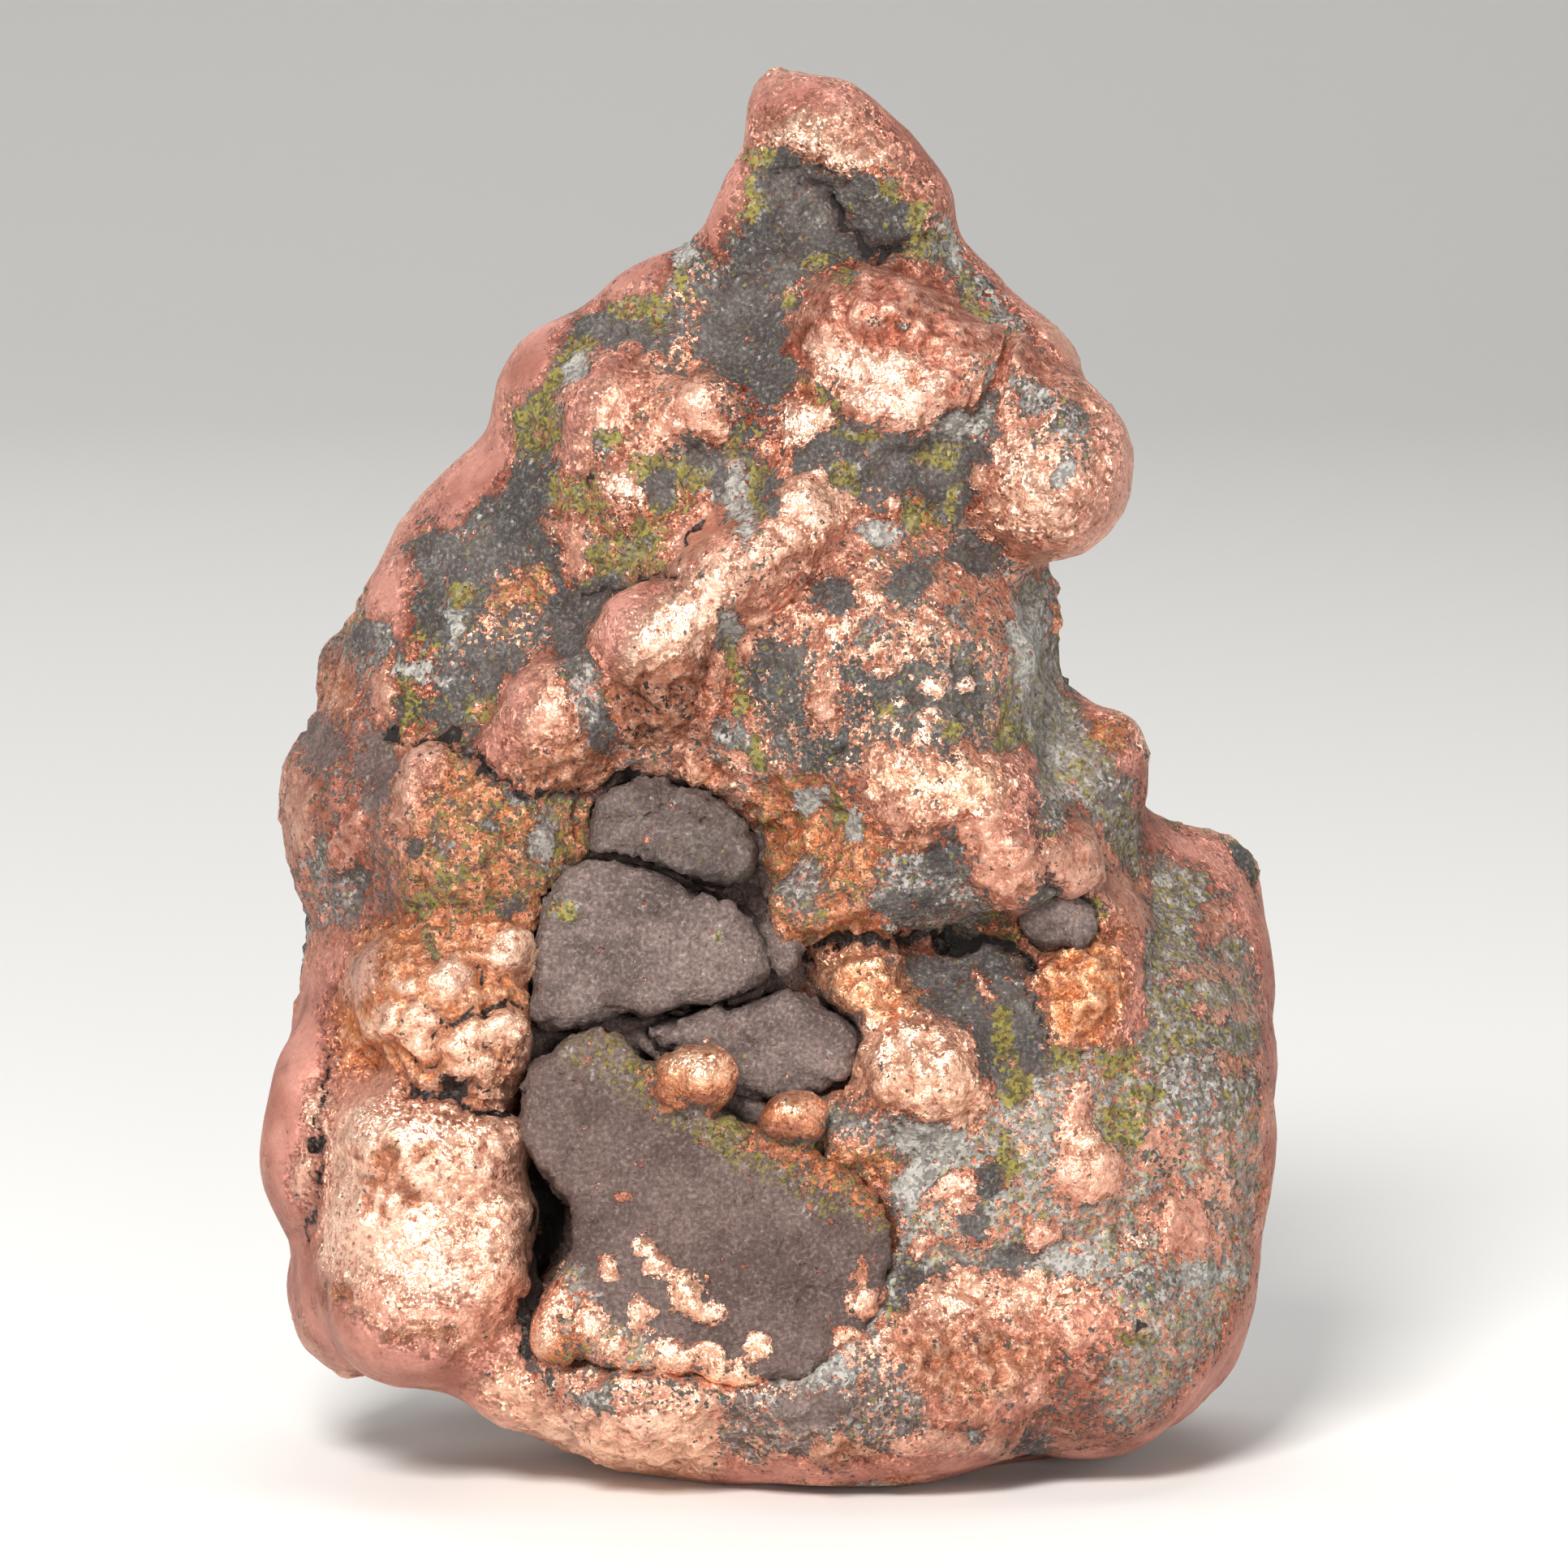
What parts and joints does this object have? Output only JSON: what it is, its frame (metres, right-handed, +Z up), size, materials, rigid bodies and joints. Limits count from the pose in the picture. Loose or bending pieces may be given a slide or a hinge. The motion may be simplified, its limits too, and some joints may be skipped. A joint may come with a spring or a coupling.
{
  "type": "native copper nugget",
  "caption": "Upright native copper nugget grown through dark basalt, with loose basalt blocks wedged in a pocket in its face and a flat worn foot to stand on.",
  "frame": {"origin": "middle of the bounding box, on the level surface the nugget stands on", "axes": "+Z up from the foot to the crown, the face with the pocket towards -Y, +X to the right of that face"},
  "size_m": [0.042, 0.0322, 0.0573],
  "materials": {
    "native_copper": "naturally rounded native copper, satin on the lobes and granular in the hollows, with dark basalt, olive epidote and pale calcite between",
    "basalt": "matt speckled brown-grey basalt"
  },
  "bodies": {
    "root": {"copper_nugget": "native_copper", "pocket_slab": "basalt", "pocket_block_middle": "basalt", "pocket_block_right": "basalt", "pocket_block_low": "basalt", "pocket_chip": "basalt", "rim_pebble": "basalt"}
  },
  "joints": []
}
